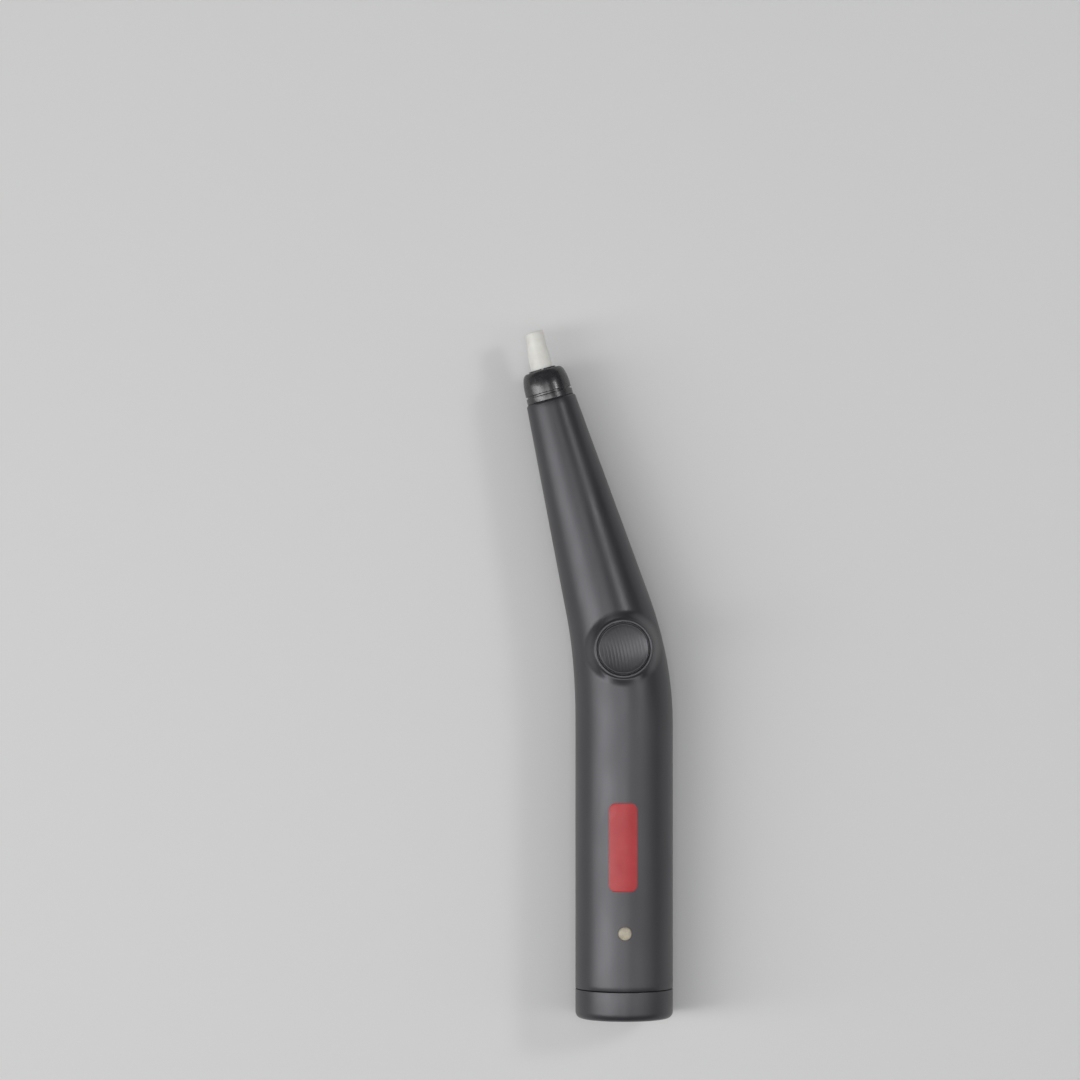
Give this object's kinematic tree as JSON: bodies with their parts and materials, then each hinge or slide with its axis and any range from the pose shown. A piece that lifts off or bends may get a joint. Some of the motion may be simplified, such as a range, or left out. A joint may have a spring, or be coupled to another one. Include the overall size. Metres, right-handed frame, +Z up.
{
  "type": "electric eraser",
  "caption": "Rechargeable electric eraser: a bent pen-shaped barrel with a push button, a motor in the nose and a spinning collet that grips an eraser refill.",
  "frame": {"origin": "centre of the underside of the eraser's box as it lies on its back on a table, button up", "axes": "+Y along the handle from the charging end towards the nose, +X to the right when looking down at the button with the nose away from you, +Z up out of the button face"},
  "size_m": [0.0346, 0.158, 0.0225],
  "materials": {
    "casing_plastic": "satin",
    "ring_plastic": "gloss",
    "button_plastic": "satin",
    "badge_film": "gloss",
    "clear_plastic": "gloss",
    "switch_plastic": "matte",
    "spring_steel": "satin",
    "circuit_board": "satin",
    "led_lens": "gloss",
    "chip_ceramic": "matte",
    "bright_steel": "satin",
    "gold_contact": "gloss",
    "cell_steel": "satin",
    "cell_sleeve": "gloss",
    "foam": "matte",
    "nickel": "satin",
    "ferrite": "matte",
    "core_iron": "satin",
    "copper": "gloss",
    "coupling_rubber": "matte",
    "spindle_metal": "satin",
    "bush_bronze": "satin",
    "collet_plastic": "satin",
    "eraser_vinyl": "matte",
    "red_insulation": "satin",
    "black_insulation": "satin"
  },
  "bodies": {
    "case": {"front_shell": "casing_plastic", "rear_shell": "casing_plastic", "end_cap": "casing_plastic", "nose_ring": "ring_plastic", "red_badge": "badge_film", "light_pipe": "clear_plastic", "switch_base": "switch_plastic", "motor_end_bell": "switch_plastic", "usb_tongue": "switch_plastic", "charge_chip": "switch_plastic", "motor_transistor": "switch_plastic", "switch_dome": "spring_steel", "main_board": "circuit_board", "status_led": "led_lens", "small_parts": "chip_ceramic", "usb_shell": "bright_steel", "motor_can": "bright_steel", "case_screws": "bright_steel", "usb_contacts": "gold_contact", "motor_terminals": "gold_contact", "battery_cell": "cell_steel", "battery_sleeve": "cell_sleeve", "battery_foam": "foam", "positive_tab": "nickel", "negative_tab": "nickel", "motor_magnets": "ferrite", "motor_brushes": "copper", "front_bush": "bush_bronze", "rear_bush": "bush_bronze", "red_wire": "red_insulation", "black_wire": "black_insulation"},
    "spindle": {"spindle": "spindle_metal", "spindle_clip": "spring_steel", "thrust_washer": "spring_steel", "coupling_sleeve": "coupling_rubber", "motor_shaft": "bright_steel", "motor_armature": "core_iron", "motor_windings": "copper", "motor_commutator": "copper"},
    "collet": {"collet": "collet_plastic"},
    "refill": {"eraser_refill": "eraser_vinyl"},
    "button": {"button_cap": "button_plastic"},
    "plunger": {"switch_plunger": "switch_plastic"}
  },
  "joints": [
    {"name": "spindle_spin", "type": "hinge", "parent": "case", "child": "spindle", "pos_m": [-0.01075, 0.06305, 0.0112], "axis": [-0.2672, 0.9636, 0], "continuous": true},
    {"name": "collet_pull", "type": "slide", "parent": "spindle", "child": "collet", "axis": [-0.2672, 0.9636, 0], "range_m": [0, 0.024]},
    {"name": "refill_feed", "type": "slide", "parent": "collet", "child": "refill", "axis": [-0.2672, 0.9636, 0], "range_m": [0, 0.0165]},
    {"name": "button_press", "type": "slide", "parent": "case", "child": "button", "axis": [0, 0, -1], "range_m": [0, 0.0005], "stiffness_N_per_m": 2000, "springref_m": -0.0002},
    {"name": "switch_press", "type": "slide", "parent": "case", "child": "plunger", "axis": [0, 0, -1], "range_m": [0, 0.0005], "deforming": ["switch_dome"]}
  ],
  "couplings": [
    {"joint": "switch_press", "follows": "button_press", "ratio": 1}
  ]
}
